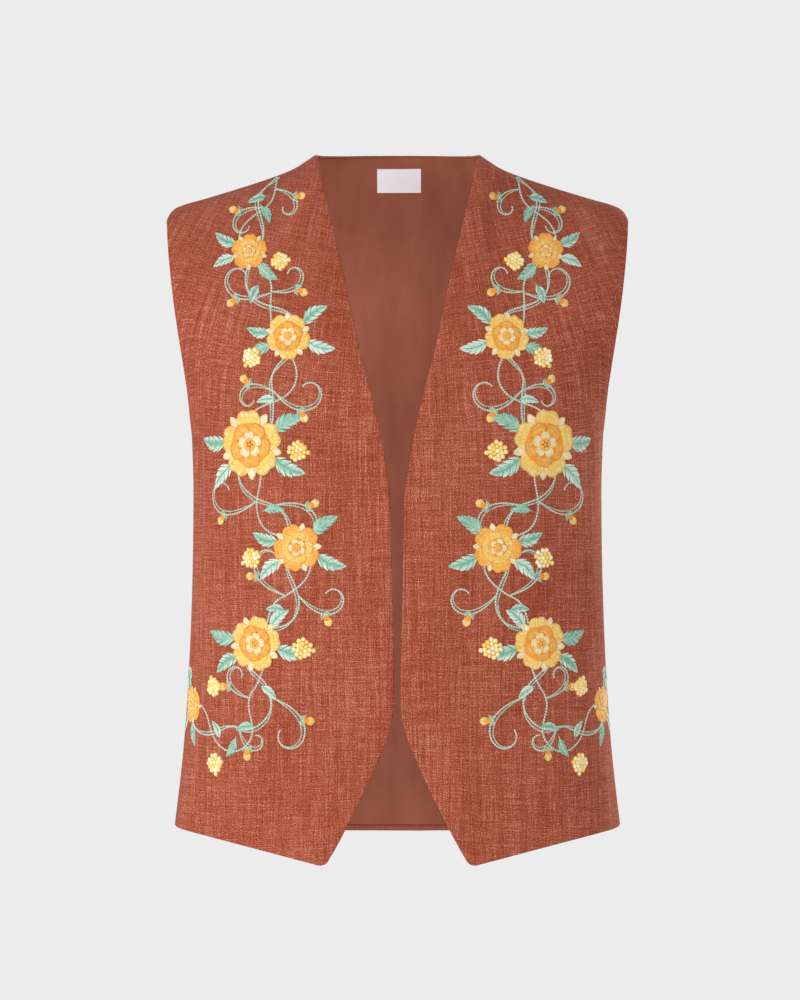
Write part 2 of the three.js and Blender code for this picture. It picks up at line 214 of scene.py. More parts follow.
def crease_height(face, x, z, level, turn):
    """Sum of troughs and ridges: each a bell across its line, a half sine along it, and
    faded to nothing at the seams."""
    total = np.zeros_like(x)
    for x0, z0, x1, z1, width, height in zip(*CREASES[face].values()):
        along = (z0 - z) / (z0 - z1)
        away = (x - (x0 + along * (x1 - x0))) / width
        total += height * np.sin(np.pi * np.clip(along, 0, 1)) ** 0.8 * np.exp(-away * away)
    return total * seam_fade(level, turn, *CREASE_FADE)


def drape_height(x, z, level, turn):
    """Slow unevenness of hanging cloth, under half a millimetre: sines across, aslant and down,
    the first and last swayed by another."""
    waves = DRAPE_ACROSS * np.sin(x / 17 + 1.7 * np.sin(z / 71))
    waves += DRAPE_ASLANT * np.sin(x / 9.5 - z / 43 + 1.1)
    waves += DRAPE_DOWN * np.sin(z / 26 + 1.3 * np.sin(x / 31))
    return waves * seam_fade(level, turn, *DRAPE_FADE)


def cloth_surface(face, level, turn):
    """Outer surface with its creases, and its outward normals."""
    point = plain_point(face, level, turn)
    normal = outward(face, level, turn)
    x, z = point[..., 0], point[..., 2]
    lift = crease_height(face, x, z, level, turn) + drape_height(x, z, level, turn)
    return point + normal * lift[..., None], normal


# ---- meshes

def new_object(name, data):
    """Puts a mesh, lamp or camera into the scene."""
    made = bpy.data.objects.new(name, data)
    bpy.context.scene.collection.objects.link(made)
    return made


def make_piece(name, points, faces, uv, materials, face_material):
    """A mesh piece from points in mm, faces as index rows, and a UV pair for each point."""
    mesh = bpy.data.meshes.new(name)
    rows = sum((part.tolist() for part in faces), [])
    mesh.from_pydata((points * MM).tolist(), [], rows)
    layer = mesh.uv_layers.new(name="cloth")
    corners = np.concatenate([part.ravel() for part in faces])
    layer.data.foreach_set("uv", uv[corners].astype(np.float32).ravel())
    mesh.polygons.foreach_set("use_smooth", [True] * len(rows))
    for material in materials:
        mesh.materials.append(material)
    mesh.polygons.foreach_set("material_index", face_material.astype(np.int32))
    mesh.update()
    piece = new_object(name, mesh)
    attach(piece, "root")
    return piece


def grid_faces(at):
    """Index rows of the quads of a grid of indices."""
    return np.stack([at[:-1, :-1], at[:-1, 1:], at[1:, 1:], at[1:, :-1]], -1).reshape(-1, 4)


RIM_ROLL = np.array([1.0, 0.42, 0.1])
RIM_SHARES, INSIDE_SHARE = np.array([0.0, 0.0006, 0.0018, 0.004]), 0.012
SEAM_BITE = 0.2


def edge_roll(count):
    """How far the cloth's edge closes at each grid line, 1 at the rim and 0 inside."""
    roll = np.zeros(count)
    roll[:3], roll[-3:] = RIM_ROLL, RIM_ROLL[::-1]
    return roll


def edge_lines(count, first, last):
    """Even grid lines from first to last, with close ones at each end for the rim."""
    inside = np.linspace(INSIDE_SHARE, 1 - INSIDE_SHARE, count)
    return first + (last - first) * np.concatenate([RIM_SHARES, inside, 1 - RIM_SHARES[::-1]])


def past_rim(surface):
    """A grid with its rim moved SEAM_BITE outwards, so that no light passes a seam."""
    wide = surface.copy()
    for rim, near in ((0, 1), (-1, -2)):
        wide[:, rim] += SEAM_BITE * unit(surface[:, rim] - surface[:, near])
        wide[rim] += SEAM_BITE * unit(surface[rim] - surface[near])
    return wide


def wall(name, face, level, turn, top_below, thickness, uv, materials, slot):
    """Closed cloth wall on a grid of levels and turns. The outer sheet lies top_below under the
    surface, the inner one a thickness further in, and they meet in a rounded rim."""
    surface, normal = cloth_surface(face, level, turn)
    if slot == "denim":
        surface = past_rim(surface)
    rows, columns = level.shape
    middle = thickness * 0.5 * np.maximum(edge_roll(rows)[:, None], edge_roll(columns))
    outer = surface - normal * (top_below + middle)[..., None]
    inner = surface - normal * (top_below + thickness - middle)[..., None]
    outer_at = np.arange(rows * columns).reshape(rows, columns)
    inner_at = outer_at.copy()
    inside = np.arange((rows - 2) * (columns - 2)).reshape(rows - 2, -1)
    inner_at[1:-1, 1:-1] = outer_at.size + inside
    points = np.concatenate([outer.reshape(-1, 3), inner[1:-1, 1:-1].reshape(-1, 3)])
    flat_uv = np.concatenate([uv.reshape(-1, 2), uv[1:-1, 1:-1].reshape(-1, 2)])
    faces = np.concatenate([grid_faces(outer_at), grid_faces(inner_at)[:, ::-1]])
    sheet = np.repeat([0, len(materials) - 1], len(faces) // 2)
    return make_piece(name, points, [faces], flat_uv, materials, sheet)


LEAN_FROM, LEAN_RUN, LEAN_MOST = UNDERARM_Z - 30, 220.0, 1.2
FRONT_LEAN, BACK_LEAN = 0.42, 0.1
BACK_CUT = np.array([0.91, 0.37])


def weave_uv(points, lean):
    """Cloth coordinates in metres along a grid: arc lengths across and up, with the warp
    leaning in towards the neck over the shoulder and the weft square to it."""
    across, up = arc_length(points, 1), arc_length(points, 0)
    rows, columns = np.arange(len(points)), np.arange(points.shape[1])
    middle = np.argmin(np.abs(points[..., 0]), axis=1)
    across += (points[rows, middle, 0] - across[rows, middle])[:, None]
    underarm = np.argmin(np.abs(points[..., 2] - UNDERARM_Z), axis=0)
    up -= up[underarm, columns]
    s = np.clip((points[..., 2] - LEAN_FROM) / LEAN_RUN, 0, LEAN_MOST)
    stretch = 1 + lean * s * s
    return np.stack([across * stretch, up - lean * s * across ** 2 / (LEAN_RUN * stretch)], -1) * MM


# ---- materials

def linear(code):
    """sRGB hex to linear red, green, blue and alpha."""
    c = np.array([int(code[i:i + 2], 16) for i in (1, 3, 5)]) / 255
    value = np.where(c <= 0.04045, c / 12.92, ((c + 0.055) / 1.055) ** 2.4)
    return (*value.tolist(), 1.0)


def new_material(name):
    """A material with an empty node tree."""
    material = bpy.data.materials.new(name)
    material.use_nodes = True
    material.node_tree.nodes.clear()
    return material


def node(owner, kind, settings=None, stops=(), **inputs):
    """Adds a node with its settings and a ramp's stops of position and hex, sets or links each
    input by name, or by number as i0, and returns the outputs."""
    made = owner.node_tree.nodes.new("ShaderNode" + kind)
    for key, value in (settings or {}).items():
        setattr(made, key, value)
    if stops:
        elements = made.color_ramp.elements
        while len(elements) < len(stops):
            elements.new(0.5)
        for element, (position, code) in zip(elements, stops):
            element.position, element.color = position, linear(code)
    for key, value in inputs.items():
        socket = made.inputs[int(key[1:]) if key[1:].isdigit() else key.replace("_", " ")]
        if isinstance(value, bpy.types.NodeSocket):
            owner.node_tree.links.new(value, socket)
        else:
            socket.default_value = value
    return made.outputs


def streaks(material, uv, across_mm, along_mm, seed, detail):
    """Noise of a given size across and along the warp."""
    size = (1 / (across_mm * MM), 1 / (along_mm * MM), 1)
    place = node(material, "Mapping", i0=uv, i1=(seed, seed * 0.37, seed), i3=size)
    return node(material, "TexNoise", Vector=place[0], Scale=1.0, Detail=detail, Roughness=0.6)["Fac"]


def weighed(material, parts):
    """0.5, and each noise's distance from its own middle times its weight."""
    total = 0.5 - 0.5 * sum(weight for _, weight in parts)
    for fac, weight in parts:
        total = node(material, "Math", {"operation": "MULTIPLY_ADD"}, i0=fac, i1=weight, i2=total)[0]
    return total


def finish_material(material, color, height, strength, distance, **shader):
    """Principled shader with a bump, linked to the output."""
    bump = node(material, "Bump", Strength=strength, Distance=distance, Height=height)
    made = node(material, "BsdfPrincipled", Base_Color=color, Normal=bump[0], **shader)
    node(material, "OutputMaterial", Surface=made[0])
    return material


def cloth(name, noises, contrast, stops, strength, distance, **shader):
    """Woven cloth: noises weighed into a colour on a ramp, and by other weights into relief."""
    m = new_material(name)
    uv = node(m, "UVMap", {"uv_map": "cloth"})[0]
    drawn = [(streaks(m, uv, *size), tint * contrast, relief)
             for *size, tint, relief in zip(*table(NOISE_COLUMNS, noises).values())]
    shade = weighed(m, [(fac, tint) for fac, tint, _ in drawn])
    color = node(m, "ValToRGB", stops=stops, Fac=shade)["Color"]
    height = weighed(m, [(fac, relief) for fac, _, relief in drawn if relief])
    return finish_material(m, color, height, strength, distance, **shader)


NOISE_COLUMNS = "across_mm along_mm seed detail tint relief"
# Grain, warp, weft, slubs both ways, thick yarns both ways, and slow bands and patches.
SLUB_NOISES = [
    (0.85, 0.95, 1, 1, 1.80, 1.0),
    (1.05, 12, 4, 2, 0.55, 0.8), (9, 1, 7, 2, 0.55, 0.8),
    (2.1, 75, 9, 2, 0.42, 0.6), (48, 1.7, 12, 2, 0.42, 0),
    (1.15, 52, 21, 2, 0.62, 0), (38, 1.15, 24, 2, 0.55, 0),
    (8, 170, 15, 2, 0.26, 0), (45, 120, 18, 2, 0.26, 0),
]
# A slow cloud, and fine threads both ways.
LINING_NOISES = [(26, 90, 3, 2, 1.2, 1.2), (0.9, 9, 5, 1, 0.16, 0.16), (9, 0.9, 6, 1, 0.16, 0.16)]
# Ribs, and a slow cloud in the colour alone.
SATIN_NOISES = [(12, 0.8, 2, 1, 0.5, 1), (9, 14, 8, 2, 0.9, 0)]


def slub_denim(name, contrast, stops):
    """Rust slub denim, cotton and linen yarns of uneven thickness in a plain weave, left matt:
    the eye gets a fine pinkish grain, long thick and thin yarns both ways, and slow dark and
    pale bands down the warp. The yarns are 0.5 mm apart, drawn here 1 mm apart to show."""
    return cloth(name, SLUB_NOISES, contrast, stops, 0.35, 0.0005, Roughness=0.95, Sheen_Weight=0.04,
                 Sheen_Roughness=0.6, Specular_IOR_Level=0.1)


PLY_WAVES, PLY_SHADE = 7000.0, 0.08


def rayon_thread(name, code, dark):
    """Rayon embroidery thread, two plies twisted and laid flat: silky, a little lighter or darker
    from stitch to stitch, with painted light and shade along the twist, and painted shade
    where each stitch dives into the cloth."""
    m = new_material("rayon_thread_" + name)
    run, shade, _ = node(m, "SeparateXYZ", i0=node(m, "UVMap", {"uv_map": "cloth"})[0])
    # The twist's waves serve as its bump, and also as painted light and shade in the colour along the
    # thread.
    wave = node(m, "Math", {"operation": "MULTIPLY"}, i0=run, i1=PLY_WAVES)[0]
    wave = node(m, "Math", {"operation": "SINE"}, i0=wave)[0]
    twist = node(m, "Math", {"operation": "MULTIPLY_ADD"}, i0=wave, i1=PLY_SHADE, i2=shade)[0]
    stops = [(0.0, dark), (0.55, code), (1.0, code)]
    color = node(m, "ValToRGB", stops=stops, Fac=twist)["Color"]
    return finish_material(m, color, twist, 0.2, 0.0002, Roughness=0.45, Sheen_Weight=0.1,
                           Sheen_Roughness=0.35, Specular_IOR_Level=0.4)


DENIM = slub_denim("slub_denim_rust", 1.0, [
    (0.05, "#772F1D"), (0.36, "#96432C"), (0.56, "#A8523A"), (0.80, "#C67A62"), (1.0, "#DE9C87"),
])
# The denim's wrong side: smoother and with less contrast, and also tinted darker and browner as
# painted shade, which shows along the back neck edge and on the hem band inside.
REVERSE_WITH_PAINTED_SHADE = slub_denim("slub_denim_reverse_painted_shade", 0.45,
                     [(0.1, "#854132"), (0.5, "#9D5544"), (0.9, "#AF7061")])
# Viscose lining, woven fine and pressed smooth: even, with faint slow waves down it.
LINED = cloth("viscose_lining_brown", LINING_NOISES, 1, [(0.25, "#8F4D37"), (0.75, "#A05C45")],
              0.25, 0.0012, Roughness=0.62, Sheen_Weight=0.05, Sheen_Roughness=0.4,
              Specular_IOR_Level=0.25)
# Polyester satin tape, woven dense and left bare: close ribs across and a cool pale sheen.
TAPE = cloth("polyester_label_satin", SATIN_NOISES, 1, [(0.25, "#FCF5FC"), (0.75, "#FFFCFF")],
             0.3, 0.0002, Roughness=0.5, Sheen_Weight=0.05, Specular_IOR_Level=0.3)
THREADS = {name: rayon_thread(name, code, dark) for name, code, dark in (
    ("frost", "#E2F3E4", "#AED2BE"), ("aqua", "#B8E0CB", "#80B69F"),
    ("sea", "#93CBB3", "#5D9883"), ("cream", "#FFF2CF", "#F6D08E"),
    ("butter", "#FFEAA8", "#F2C064"), ("yellow", "#FFD873", "#F3AE44"),
    ("apricot", "#FFC05A", "#EE9C36"), ("orange", "#FBA53C", "#DE8322"),
)}
TONES = list(THREADS)


# ---- panels

BODY_LINES, YOKE_LINES = 60, 56
FRONT_COLUMNS, BACK_COLUMNS, LABEL_COLUMNS, LABEL_ROWS = 78, 104, 26, 14
# Levels of a rim: up from the hem, up to the ridge, and down from an end short of the ridge.
HEM_RIM = np.array([0.0, 0.0005, 0.0015, 0.0035])
RIDGE_RIM = 2 - (np.array([2.2, 1.1, 0.45, 0.0]) / 147) ** 2
SHORT_RIM = np.array([2e-3, 8e-4, 2e-4, 0.0])
CLEAR_OF_HEM, CLEAR_OF_TOP = 0.008, 0.0006


def panel_levels(first, last):
    """Levels from the hem to the ridge, even below the underarm but for two at the hem fold's
    step, and closing up as a square towards the ridge, where the cloth turns over."""
    below = np.linspace(0, 1, BODY_LINES)[:-1]
    above = 2 - np.linspace(1, 0, YOKE_LINES) ** 2
    inner = np.sort(np.concatenate([[FOLD_LEVEL - FOLD_STEP, FOLD_LEVEL], below, above]))
    inner = inner[(inner > first + CLEAR_OF_HEM) & (inner < last - CLEAR_OF_TOP)]
    return np.concatenate([first + HEM_RIM, inner, RIDGE_RIM if last >= 2 else last - SHORT_RIM])


POINT_ROUND, HEM_LINE, BODY_LINE = 4.0, 195.0, 400.0


def round_point(level, turn):
    """Level and turn of a front with its pointed corner eased to POINT_ROUND. Inside that reach
    the square corner is squeezed to a quarter disc: each way shrinks by the root of 1 less half
    the other way squared."""
    in_turn, in_level = POINT_ROUND / HEM_LINE * (1 - turn[:1, :1]), POINT_ROUND / BODY_LINE
    a = np.clip(1 - (turn - turn[:, :1]) / in_turn, 0, 1)
    b = np.clip(1 - level / in_level, 0, 1)
    turn = turn + in_turn * a * (1 - np.sqrt(1 - b * b / 2))
    return level + in_level * b * (1 - np.sqrt(1 - a * a / 2)), turn


def front_panel(side):
    """One front: columns run from the front edge to the side seam and armhole."""
    levels = panel_levels(0.0, 2.0)
    edge_x = smooth(FRONT_EDGE, "level", "x", levels)
    start = turn_at_x("front", levels, edge_x)[:, None]
    turn = edge_lines(FRONT_COLUMNS, start, 1.0)
    level, turn = round_point(np.repeat(levels[:, None], turn.shape[1], 1), turn)
    if side < 0:
        level, turn = level[:, ::-1], -turn[:, ::-1]
    surface, _ = cloth_surface("front", level, turn)
    name = "front_left" if side > 0 else "front_right"
    piece = wall(name + "_cloth", "front", level, turn, 0, SHELL, weave_uv(surface, FRONT_LEAN),
                 [DENIM, LINED], "denim")
    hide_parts(name)
    return piece


def back_grid(first, last):
    """Levels, turns and cloth coordinates of the back, its columns from the wearer's left."""
    turns = -edge_lines(BACK_COLUMNS, -1.0, 1.0)
    level, turn = np.meshgrid(panel_levels(first, last), turns, indexing="ij")
    surface, _ = cloth_surface("back", level, turn)
    return level, turn, weave_uv(surface[:, ::-1], BACK_LEAN)[:, ::-1]


def back_panel():
    """The back, with its hem turned up inside as a thicker band."""
    level, turn, uv = back_grid(0.0, 2.0)
    folded = np.clip((FOLD_LEVEL - level) / FOLD_STEP, 0, 1)
    thickness = SHELL + (LAYER_GAP + LINING) * folded
    piece = wall("back_cloth", "back", level, turn, 0, thickness, uv + BACK_CUT,
                 [DENIM, REVERSE_WITH_PAINTED_SHADE], "denim")
    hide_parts("back")
    return piece


LINING_LOW, LINING_TOP = (HEM_FOLD + 0.8) / (UNDERARM_Z - HEM_SIDE_Z), 1.9997


def lining_panel():
    """The back lining, just inside the back, from above the hem fold to the neck edge."""
    level, turn, uv = back_grid(LINING_LOW, LINING_TOP)
    piece = wall("back_lining_cloth", "back", level, turn, SHELL + LAYER_GAP, LINING, uv,
                 [LINED], "lining")
    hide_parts("back_lining")
    return piece


LABEL_WIDTH, LABEL_HEIGHT, LABEL_THICK, LABEL_X, LABEL_TOP = 41.4, 21.1, 0.55, 1.4, -5.2
LABEL_BELOW = SHELL + LINING + 2 * LAYER_GAP


def back_place(x, z):
    """Level and turn of the back at x and z, found by six passes of the ridge's height."""
    level = np.full_like(x, 2.0)
    for _ in range(6):
        turn = turn_at_x("back", level, x)
        top = smooth(RIDGE, "x", "z", np.abs(x)) + NECK_RISE * neck_share(level, turn)
        level = np.minimum(1 + (z - UNDERARM_Z) / (top - UNDERARM_Z), 2)
    return level, np.sign(x) * turn_at_x("back", level, x)


def label_patch():
    """The blank label: a flat tape on the lining below the back neck."""
    along, up = np.meshgrid(edge_lines(LABEL_COLUMNS, -0.5, 0.5), edge_lines(LABEL_ROWS, 0.0, 1.0))
    x, z = LABEL_X - LABEL_WIDTH * along, LABEL_TOP - LABEL_HEIGHT * (1 - up)
    level, turn = back_place(x, z)
    uv = np.stack([x, z], -1) * MM
    piece = wall("label_tape", "back", level, turn, LABEL_BELOW, LABEL_THICK, uv, [TAPE], "label")
    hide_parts("label")
    return piece


# ---- laying threads on a front

GRID_LEVELS = np.concatenate([np.linspace(0, 1, 150)[:-1], 2 - np.linspace(1, 0, 130) ** 2])
GRID_TURNS = np.linspace(0, 1, 170)
ARC_STEPS = np.arange(301.0)


def sample(grid, row, column):
    """Bilinear value of a grid at fractional rows and columns."""
    r = np.clip(np.floor(row).astype(int), 0, grid.shape[0] - 2)
    c = np.clip(np.floor(column).astype(int), 0, grid.shape[1] - 2)
    fr, fc = row - r, column - c
    if grid.ndim == 3:
        fr, fc = fr[..., None], fc[..., None]
    low = grid[r, c] * (1 - fc) + grid[r, c + 1] * fc
    high = grid[r + 1, c] * (1 - fc) + grid[r + 1, c + 1] * fc
    return low * (1 - fr) + high * fr


class FrontGround:
    """A front's surface as a ground for stitches, addressed by (a, z): the arc length across
    the cloth from the centre front, and the height."""

    def __init__(self, side):
        level, turn = np.meshgrid(GRID_LEVELS, GRID_TURNS, indexing="ij")
        self.side = side
        self.points, self.normals = cloth_surface("front", level, side * np.maximum(turn, 1e-6))
        arcs = arc_length(self.points, 1)
        self.turn_of_arc = np.stack([np.interp(ARC_STEPS, row, GRID_TURNS) for row in arcs])

    def lay(self, a, z):
        """Points and normals at arc a and height z, found by five passes of hem and ridge."""
        x = a.copy()
        for _ in range(5):
            hem = smooth(HEM["front"], "x", "z", x)
            top = smooth(RIDGE, "x", "z", x)
            low = (z - hem) / (UNDERARM_Z - hem)
            level = np.where(z < UNDERARM_Z, low, 1 + (z - UNDERARM_Z) / (top - UNDERARM_Z))
            row = np.interp(level, GRID_LEVELS, np.arange(len(GRID_LEVELS)))
            turn = sample(self.turn_of_arc, row, np.clip(a, 0, ARC_STEPS[-2]))
            column = turn * (len(GRID_TURNS) - 1)
            x = np.abs(sample(self.points[..., 0], row, column))
        return sample(self.points, row, column), sample(self.normals, row, column)


# ---- stitches, in the ground's plane

SWELL_POWER = 0.4
# END_SHADE is how dark painted shade leaves a stitch's ends; LEAST_SHADE is the darkest random tone
# of a stitch.
END_LIFT, END_WIDTH, END_HEIGHT, END_SHADE, LEAST_SHADE = 0.15, 0.45, 0.1, 0.1, 0.35
SINK = 0.05


def polar(angle, length=1.0):
    """Vector of a length at an angle, for arrays of both."""
    return np.stack([np.cos(angle), np.sin(angle)], -1) * np.asarray(length)[..., None]


def rising(least, share):
    """From least to 1, as the share goes from 0 to 1."""
    return least + (1 - least) * share


class Stitches:
    """Stitches gathered as rows of paths in (a, z), of sizes and of tones. A size is width, height
    and lift over the cloth. shares are the places along a stitch where its stations are."""

    def __init__(self, shares):
        self.shares = np.array(shares)
        self.rows = [], [], []

    def add(self, paths, size, tones):
        """Adds stitches of one size. tones is a name, or a list for each stitch to draw from."""
        count = len(paths)
        names = [tones] if isinstance(tones, str) else tones
        drawn = rng.choice([TONES.index(name) for name in names], count)
        for kept, new in zip(self.rows, (paths, np.tile(size, (count, 1)), drawn)):
            kept.append(new)

    def straight(self, start, end, size, tones):
        """Straight stitches from rows of starts to rows of ends."""
        paths = start[:, None] + (end - start)[:, None] * self.shares[:, None]
        self.add(paths, size, tones)

    def stem(self, line, size, tones, length=2.6):
        """Stem stitch: short threads along a line, each begun beside the last one's middle."""
        line = even(line, length / 2)
        if len(line) > 3:
            self.straight(line[:-2], line[2:], size, tones)

    def clear(self, centres, radii):
        """Leaves out the stitches whose middle lies within any of the circles."""
        for k, paths in enumerate(self.rows[0]):
            middle = paths[:, paths.shape[1] // 2]
            keep = (np.linalg.norm(middle[:, None] - centres, axis=-1) > radii).all(1)
            for kept in self.rows:
                kept[k] = kept[k][keep]

    def make(self, name, ground):
        """Each stitch is a tube of three edges along its path: two feet on the cloth and a
        crown, which rises quickly from both ends. Its colour darkens towards the ends as painted
        shade where the thread dives into the cloth."""
        paths, sizes, tones = (np.concatenate(kept) for kept in self.rows)
        count, stations = paths.shape[:2]
        point, normal = ground.lay(paths[..., 0], paths[..., 1])
        across = np.cross(normal, unit(np.gradient(point, axis=1)))
        swell = np.sin(np.pi * self.shares)[:, None] ** SWELL_POWER
        width, height, lift = (sizes[:, None, k, None] for k in range(3))
        foot = point + normal * (lift * rising(END_LIFT, swell) - SINK)
        side = across * width * rising(END_WIDTH, swell) / 2
        crown = foot + normal * height * rising(END_HEIGHT, swell)
        rings = np.stack([foot - side, foot + side, crown], 2).reshape(-1, 3)
        base = (np.arange(count) * stations * 3)[:, None, None]
        ring = (np.arange(stations - 1) * 3)[:, None]
        corners = ((0, 1, 4, 3), (1, 2, 5, 4), (2, 0, 3, 5))
        quads = np.concatenate([(base + ring + np.array(c)).reshape(-1, 4) for c in corners])
        last = 3 * (stations - 1)
        ends = ((2, 1, 0), (last, last + 1, last + 2))
        caps = np.concatenate([base[:, 0] + np.array(c) for c in ends])
        # A random tone for each stitch, times painted shade that darkens it towards both ends.
        shade = rising(LEAST_SHADE, rng.random((count, 1))) * rising(END_SHADE, swell[..., 0])
        uv = np.repeat(np.stack([arc_length(point, 1) * MM, shade], -1).reshape(-1, 2), 3, 0)
        tone = np.concatenate([np.tile(np.repeat(tones, stations - 1), 3), np.tile(tones, 2)])
        if ground.side < 0:
            quads, caps = quads[:, ::-1], caps[:, ::-1]
        return make_piece(name, rings, [quads, caps], uv, list(THREADS.values()), tone)


def even(points, spacing):
    """The same line with points at even spacing."""
    length = arc_length(points, 0)
    at = np.linspace(0, length[-1], max(int(length[-1] / spacing) + 1, 3))
    return np.stack([np.interp(at, length, points[:, k]) for k in range(2)], -1)


def spline(rows):
    """Catmull-Rom curve through the rows of a table of a and z, with a point each millimetre."""
    knots = np.stack([rows["a"], rows["z"]], -1)
    knots = np.concatenate([2 * knots[:1] - knots[1:2], knots, 2 * knots[-1:] - knots[-2:-1]])
    p0, p1, p2, p3 = (knots[k:len(knots) - 3 + k, None] for k in range(4))
    t = np.linspace(0, 1, 24, endpoint=False)[:, None]
    curve = 0.5 * (2 * p1 + (p2 - p0) * t + (2 * p0 - 5 * p1 + 4 * p2 - p3) * t ** 2
                   + (3 * p1 - p0 - 3 * p2 + p3) * t ** 3)
    return even(np.concatenate([curve.reshape(-1, 2), knots[-2:-1]]), 1.0)


def sideways(line):
    """Unit vectors square to a line."""
    along = unit(np.gradient(line, axis=0))
    return np.stack([-along[:, 1], along[:, 0]], -1)


# A thread is (width, height) in mm, or (width, height, lift over the cloth).
CHAIN_LINK, CHAIN_BULGE, CHAIN_WIDTH, CHAIN_HEIGHT, CHAIN_LIFT = 2.5, 0.46, 0.95, 0.62, 0.1
CHAIN_BOW = np.sin(np.linspace(0.12, 0.95, 5) * np.pi)[:, None]
CHAIN_SHARES, SATIN_SHARES = (0, 0.17, 0.5, 0.83, 1), (0, 0.14, 0.86, 1)


def chain_line(work, line, tones, size=1.0):
    """Chain stitch: each link is two threads that bow apart as half sines either side of the
    line and are tucked into the next link."""
    line = even(line, CHAIN_LINK * size / 4)
    square = sideways(line)
    pick = np.arange(0, len(line) - 5, 4)[:, None] + np.arange(5)
    for sign in (-1, 1):
        paths = line[pick] + sign * CHAIN_BULGE * size * CHAIN_BOW * square[pick]
        work.add(paths, (CHAIN_WIDTH * size, CHAIN_HEIGHT * size, CHAIN_LIFT), tones)


LEAF_TONES = (
    (["aqua", "sea"], ["frost", "aqua"], "sea"),
    (["sea", "aqua"], ["aqua", "sea"], "frost"),
    (["frost", "aqua"], ["frost"], "sea"),
)
LEAF_PITCH, LEAF_SLANT, LEAF_OVERLAP, TOOTH_DEPTH, TEETH = 0.84, 0.22, 0.15, 0.30, 5.5
LEAF_INNER, LEAF_OUTER, VEIN_THREAD, VEIN_LIFT = (1.05, 0.32), (1.05, 0.38), (0.75, 0.5), 0.45


def leaf(work, base, heading, length, width, kind, bend, lift=0.15):
    """Pointed leaf: threads slant forward from the midrib to an edge that swells as a sine and
    steps in behind each tooth. Short threads cover the middle and long ones the edge."""
    inner, outer, vein = LEAF_TONES[int(kind)]
    along, square = polar(heading), polar(heading + np.pi / 2)
    count = int(length / LEAF_PITCH)
    s = np.linspace(0.0, 0.97, count)
    reach = np.minimum(s + LEAF_SLANT * (1 - s) + 0.03, 1.0)
    teeth = 1 + TOOTH_DEPTH * ((reach * TEETH) % 1 - 0.5) * (reach < 0.93)
    swell = width * np.sin(np.pi * reach ** 0.85) ** 0.8 * teeth

    def rib(t):
        return base + length * (t[:, None] * along + bend * np.sin(np.pi * t)[:, None] * square)

    start = rib(s)
    for sign in (1, -1):
        edge = rib(reach) + sign * swell[:, None] * square
        ray = edge - start
        share = (0.4 + 0.25 * rng.random(count))[:, None]
        work.straight(start, start + ray * share, (*LEAF_INNER, lift), inner)
        work.straight(start + ray * (share - LEAF_OVERLAP), edge, (*LEAF_OUTER, lift), outer)
    work.stem(rib(np.linspace(-0.12, 0.86, 30)), (*VEIN_THREAD, lift + VEIN_LIFT), vein)


PETAL_BANDS = ((0.0, 0.42), (0.32, 0.74), (0.64, 1.0))
PETAL_PITCH, PETAL_FOOT, PETAL_JITTER = 0.96, 0.72, 0.1
DIP_DEPTH, DIP_WIDTH = 0.07, 0.24
PETAL_THREAD, BORDER_THREAD, BORDER_LIFT, BORDER_LENGTH = (1.3, 0.36), (0.8, 0.42), 0.15, 2.4


def petal(work, centre, angle, half_spread, inner, outer, tones, lift, fall=0.34, power=2.6):
    """One petal: threads run out from the inner radius in three overlapping bands, to an edge
    that falls off towards the sides, and dips at its middle where the fall is small. A
    stem-stitched line goes round."""
    count = max(int(2 * half_spread * outer / PETAL_PITCH), 5)
    w = np.linspace(-1, 1, count)
    dip = DIP_DEPTH * (fall < 0.5) * np.exp(-(w / DIP_WIDTH) ** 2)
    edge = outer * (1 - fall * np.abs(w) ** power) * (1 - dip)
    far = polar(angle + w * half_spread, np.maximum(edge, inner * 1.05))
    near = polar(angle + w * half_spread * PETAL_FOOT, inner)
    ray = far - near
    for (low, high), tone in zip(PETAL_BANDS, tones):
        jitter = PETAL_JITTER * (rng.random((2, count, 1)) - 0.5)
        first = near + ray * (low + jitter[0] * (low > 0))
        last = near + ray * (high + jitter[1] * (high < 1))
        work.straight(centre + first, centre + last, (*PETAL_THREAD, lift + 0.08 * low), tone)
    border = np.concatenate([near[:1] + ray[:1] * 0.3, far, near[-1:] + ray[-1:] * 0.3])
    work.stem(centre + border, (*BORDER_THREAD, lift + BORDER_LIFT), tones[3], BORDER_LENGTH)


# Each ring of a blossom: its outer and inner radius as shares, and its tones.
BLOSSOM_KINDS = (
    ((1.00, 0.40, ("orange", "yellow", ["yellow", "butter"], "apricot")),
     (0.66, 0.24, ("orange", "apricot", "apricot", "orange")),
     (0.40, 0.10, ("apricot", "cream", "cream", "yellow"))),
    ((1.00, 0.40, ("yellow", "apricot", "apricot", "orange")),
     (0.66, 0.24, ("orange", "yellow", ["butter", "yellow"], "apricot")),
     (0.38, 0.10, ("orange", "cream", "cream", "apricot"))),
)
BETWEEN_PETALS = ("yellow", "cream", "cream", "butter")
BEHIND_SPREAD, BEHIND_INNER, BEHIND_EDGE = 0.33, 0.5, (0.6, 1.5)
PETALS, BEHIND_LIFT, FIRST_LIFT, RING_LIFT, OVER_LIFT = 5, 0.3, 0.42, 0.36, 0.14


